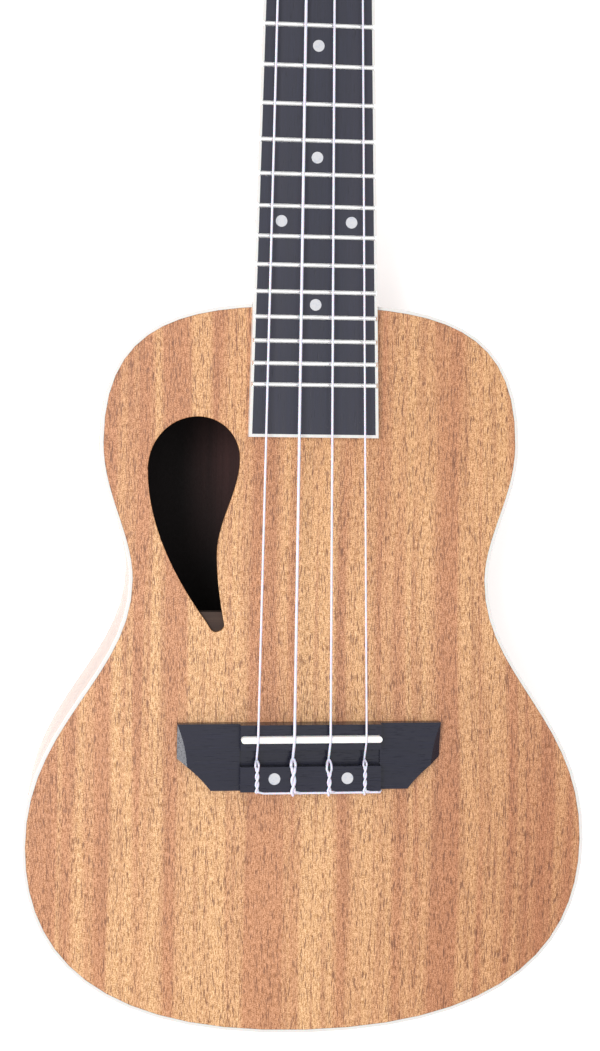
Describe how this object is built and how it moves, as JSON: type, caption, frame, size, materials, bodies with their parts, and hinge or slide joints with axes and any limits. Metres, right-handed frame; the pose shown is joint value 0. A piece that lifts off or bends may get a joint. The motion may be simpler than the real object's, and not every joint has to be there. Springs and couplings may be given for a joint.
{
  "type": "ukulele",
  "caption": "Concert ukulele: figure-eight wooden body with an offset teardrop sound hole, bound fretboard, tie bridge, tied nylon strings and geared tuners.",
  "frame": {"origin": "on the centre line, straight under the saddle, on the outer face of the flat back", "axes": "+Y up the neck towards the headstock, +Z out of the soundboard, +X towards the A string's side"},
  "size_m": [0.218, 0.6135, 0.0761],
  "materials": {
    "top_wood": "satin varnished sapele, straight grain with dark pores",
    "side_wood": "glossy varnished sapele",
    "inner_wood": "raw spruce and mahogany strips",
    "neck_wood": "satin okoume",
    "black_wood": "dark dyed rosewood, fine grain, unvarnished",
    "binding_plastic": "white plastic edge binding",
    "saddle_plastic": "off-white moulded plastic",
    "pearl": "pearloid inlay",
    "dark_plastic": "black inlay rod",
    "fret_metal": "polished nickel silver",
    "screw_steel": "zinc plated",
    "tuner_chrome": "nickel plated",
    "gear_brass": "cut brass",
    "knob_plastic": "pearl white moulded button",
    "nylon": "clear white nylon"
  },
  "bodies": {
    "root": {"soundboard": "top_wood", "back_plate": "side_wood", "side_bass": "side_wood", "side_treble": "side_wood", "top_binding": "binding_plastic", "back_binding": "binding_plastic", "linings": "inner_wood", "neck_block": "inner_wood", "tail_block": "inner_wood", "cross_braces": "inner_wood", "fan_braces": "inner_wood", "back_braces": "inner_wood", "bridge_patch": "inner_wood", "neck": "neck_wood", "neck_dowels": "inner_wood", "heel_cap": "binding_plastic", "headstock": "neck_wood", "head_overlay": "black_wood", "fretboard": "black_wood", "fretboard_binding": "binding_plastic", "frets": "fret_metal", "position_dots": "pearl", "side_dots": "dark_plastic", "nut": "saddle_plastic", "bridge": "black_wood", "saddle": "saddle_plastic", "bridge_bolts": "screw_steel", "bridge_nuts": "screw_steel", "bridge_dots": "pearl", "string_g": "nylon", "string_c": "nylon", "string_e": "nylon", "string_a": "nylon", "tuner_plates": "tuner_chrome", "tuner_bushings": "tuner_chrome", "plate_screws": "tuner_chrome"},
    "tuner_knob_g": {"worm_g": "gear_brass", "knob_g": "knob_plastic"},
    "tuner_post_g": {"post_g": "tuner_chrome", "gear_g": "gear_brass", "gear_screw_g": "tuner_chrome", "winding_g": "nylon"},
    "tuner_knob_c": {"worm_c": "gear_brass", "knob_c": "knob_plastic"},
    "tuner_post_c": {"post_c": "tuner_chrome", "gear_c": "gear_brass", "gear_screw_c": "tuner_chrome", "winding_c": "nylon"},
    "tuner_knob_e": {"worm_e": "gear_brass", "knob_e": "knob_plastic"},
    "tuner_post_e": {"post_e": "tuner_chrome", "gear_e": "gear_brass", "gear_screw_e": "tuner_chrome", "winding_e": "nylon"},
    "tuner_knob_a": {"worm_a": "gear_brass", "knob_a": "knob_plastic"},
    "tuner_post_a": {"post_a": "tuner_chrome", "gear_a": "gear_brass", "gear_screw_a": "tuner_chrome", "winding_a": "nylon"}
  },
  "joints": [
    {"name": "knob_turn_g", "type": "hinge", "parent": "root", "child": "tuner_knob_g", "pos_m": [-0.017, 0.41054, 0.04072], "axis": [1, 0, 0], "continuous": true},
    {"name": "post_turn_g", "type": "hinge", "parent": "root", "child": "tuner_post_g", "pos_m": [-0.017, 0.42117, 0.0561], "axis": [0, 0.2079, 0.9781], "continuous": true},
    {"name": "knob_turn_c", "type": "hinge", "parent": "root", "child": "tuner_knob_c", "pos_m": [-0.017, 0.45554, 0.03116], "axis": [1, 0, 0], "continuous": true},
    {"name": "post_turn_c", "type": "hinge", "parent": "root", "child": "tuner_post_c", "pos_m": [-0.017, 0.46616, 0.04654], "axis": [0, 0.2079, 0.9781], "continuous": true},
    {"name": "knob_turn_e", "type": "hinge", "parent": "root", "child": "tuner_knob_e", "pos_m": [0.017, 0.45554, 0.03116], "axis": [1, 0, 0], "continuous": true},
    {"name": "post_turn_e", "type": "hinge", "parent": "root", "child": "tuner_post_e", "pos_m": [0.017, 0.46616, 0.04654], "axis": [0, 0.2079, 0.9781], "continuous": true},
    {"name": "knob_turn_a", "type": "hinge", "parent": "root", "child": "tuner_knob_a", "pos_m": [0.017, 0.41054, 0.04072], "axis": [1, 0, 0], "continuous": true},
    {"name": "post_turn_a", "type": "hinge", "parent": "root", "child": "tuner_post_a", "pos_m": [0.017, 0.42117, 0.0561], "axis": [0, 0.2079, 0.9781], "continuous": true}
  ],
  "couplings": [
    {"joint": "post_turn_g", "follows": "knob_turn_g", "ratio": 0.071429},
    {"joint": "post_turn_c", "follows": "knob_turn_c", "ratio": 0.071429},
    {"joint": "post_turn_e", "follows": "knob_turn_e", "ratio": -0.071429},
    {"joint": "post_turn_a", "follows": "knob_turn_a", "ratio": -0.071429}
  ]
}
